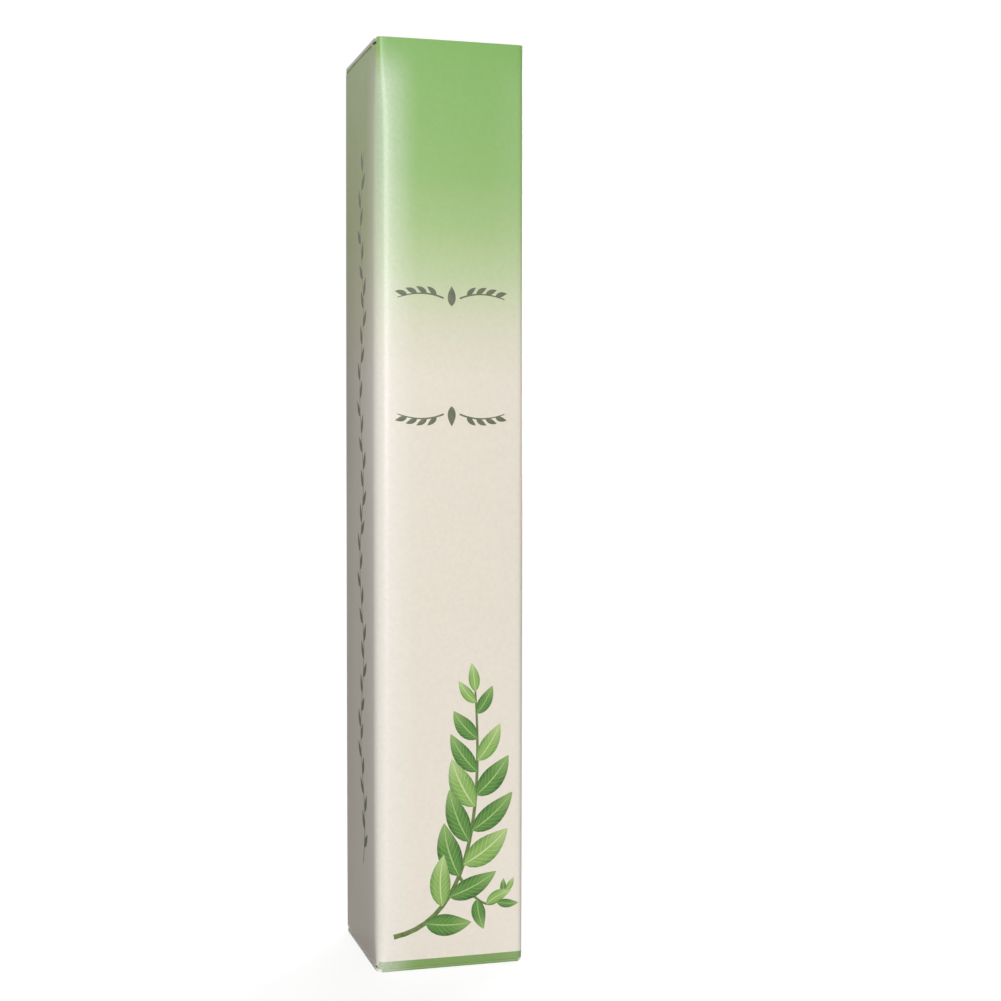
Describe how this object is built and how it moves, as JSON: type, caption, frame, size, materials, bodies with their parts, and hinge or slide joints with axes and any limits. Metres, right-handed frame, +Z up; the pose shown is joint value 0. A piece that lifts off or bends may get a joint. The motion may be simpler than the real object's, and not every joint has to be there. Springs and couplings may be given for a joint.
{
  "type": "nail oil pen in a folding carton",
  "caption": "Tall square tuck-end carton of printed board, closed, with a twist-up nail oil pen standing inside: brush nozzle, cap, oil barrel and ratchet knob.",
  "frame": {"origin": "middle of the closed carton's underside", "axes": "+Z up along the carton, -Y out of the printed front panel, -X out of the narrow panel seen on the left"},
  "size_m": [0.022, 0.022, 0.133],
  "materials": {
    "printed_board": "printed folding boxboard, thin gloss film",
    "board_inside": "uncoated reverse of the board",
    "barrel_plastic": "frosted see-through plastic",
    "clear_cap": "clear plastic",
    "white_plastic": "moulded white plastic",
    "green_plastic": "moulded green plastic",
    "grey_plastic": "moulded plain plastic",
    "seal_rubber": "soft black rubber",
    "feed_plastic": "drawn clear plastic",
    "trim_metal": "polished and lacquered",
    "bristle": "fine soft bristles",
    "oil": "clear pale oil"
  },
  "bodies": {
    "carton": {"carton_sleeve": "printed_board", "glue_flap": "board_inside"},
    "top_lid": {"top_lid": "printed_board"},
    "top_tuck": {"top_tuck_flap": "printed_board"},
    "top_dust_left": {"top_dust_flap_left": "board_inside"},
    "top_dust_right": {"top_dust_flap_right": "board_inside"},
    "bottom_lid": {"bottom_lid": "printed_board"},
    "bottom_tuck": {"bottom_tuck_flap": "printed_board"},
    "bottom_dust_left": {"bottom_dust_flap_left": "board_inside"},
    "bottom_dust_right": {"bottom_dust_flap_right": "board_inside"},
    "pen": {"barrel": "barrel_plastic", "nozzle": "white_plastic", "nozzle_seal_ring": "seal_rubber", "feed_tube": "feed_plastic", "brush_ferrule": "trim_metal", "brush_tuft": "bristle", "trim_ring": "trim_metal", "thread_guide": "white_plastic", "ratchet_ring": "grey_plastic", "oil_charge": "oil"},
    "cap": {"cap": "clear_cap", "cap_liner": "white_plastic"},
    "knob": {"twist_knob": "green_plastic", "end_plug": "white_plastic", "drive_sleeve": "grey_plastic"},
    "piston": {"piston": "grey_plastic", "piston_seal": "seal_rubber"},
    "screw": {"lead_screw": "grey_plastic"}
  },
  "joints": [
    {"name": "top_lid_fold", "type": "hinge", "parent": "carton", "child": "top_lid", "pos_m": [0, 0.01077, 0.13278], "axis": [-1, 0, 0], "range_deg": [0, 110]},
    {"name": "top_tuck_fold", "type": "hinge", "parent": "top_lid", "child": "top_tuck", "pos_m": [0, -0.00965, 0.13255], "axis": [1, 0, 0], "range_deg": [0, 75]},
    {"name": "top_dust_left_fold", "type": "hinge", "parent": "carton", "child": "top_dust_left", "pos_m": [-0.01077, 0, 0.13228], "axis": [0, -1, 0], "range_deg": [0, 72]},
    {"name": "top_dust_right_fold", "type": "hinge", "parent": "carton", "child": "top_dust_right", "pos_m": [0.01077, 0, 0.13228], "axis": [0, 1, 0], "range_deg": [0, 72]},
    {"name": "bottom_lid_fold", "type": "hinge", "parent": "carton", "child": "bottom_lid", "pos_m": [0, -0.01077, 0.00022], "axis": [-1, 0, 0], "range_deg": [0, 110]},
    {"name": "bottom_tuck_fold", "type": "hinge", "parent": "bottom_lid", "child": "bottom_tuck", "pos_m": [0, 0.00965, 0.00045], "axis": [1, 0, 0], "range_deg": [0, 75]},
    {"name": "bottom_dust_left_fold", "type": "hinge", "parent": "carton", "child": "bottom_dust_left", "pos_m": [-0.01077, 0, 0.00072], "axis": [0, 1, 0], "range_deg": [0, 72]},
    {"name": "bottom_dust_right_fold", "type": "hinge", "parent": "carton", "child": "bottom_dust_right", "pos_m": [0.01077, 0, 0.00072], "axis": [0, -1, 0], "range_deg": [0, 72]},
    {"name": "pen_lift", "type": "slide", "parent": "carton", "child": "pen", "axis": [0, 0, 1], "range_m": [0, 0.0045]},
    {"name": "cap_pull", "type": "slide", "parent": "pen", "child": "cap", "axis": [0, 0, 1], "range_m": [0, 0.0045]},
    {"name": "knob_twist", "type": "hinge", "parent": "pen", "child": "knob", "pos_m": [0, 0, 0.01], "axis": [0, 0, 1], "range_deg": [0, 2161]},
    {"name": "piston_travel", "type": "slide", "parent": "pen", "child": "piston", "axis": [0, 0, 1], "range_m": [0, 0.024], "deforming": ["oil_charge"]},
    {"name": "screw_spin", "type": "hinge", "parent": "piston", "child": "screw", "pos_m": [0, 0, 0.05], "axis": [0, 0, 1], "range_deg": [0, 2161]}
  ],
  "couplings": [
    {"joint": "top_tuck_fold", "follows": "top_lid_fold", "ratio": 0.68},
    {"joint": "top_dust_left_fold", "follows": "top_lid_fold", "ratio": 0.65},
    {"joint": "top_dust_right_fold", "follows": "top_lid_fold", "ratio": 0.65},
    {"joint": "bottom_tuck_fold", "follows": "bottom_lid_fold", "ratio": 0.68},
    {"joint": "bottom_dust_left_fold", "follows": "bottom_lid_fold", "ratio": 0.65},
    {"joint": "bottom_dust_right_fold", "follows": "bottom_lid_fold", "ratio": 0.65},
    {"joint": "knob_twist", "follows": "piston_travel", "rad_per_m": 1570.8},
    {"joint": "screw_spin", "follows": "piston_travel", "rad_per_m": 1570.8}
  ]
}
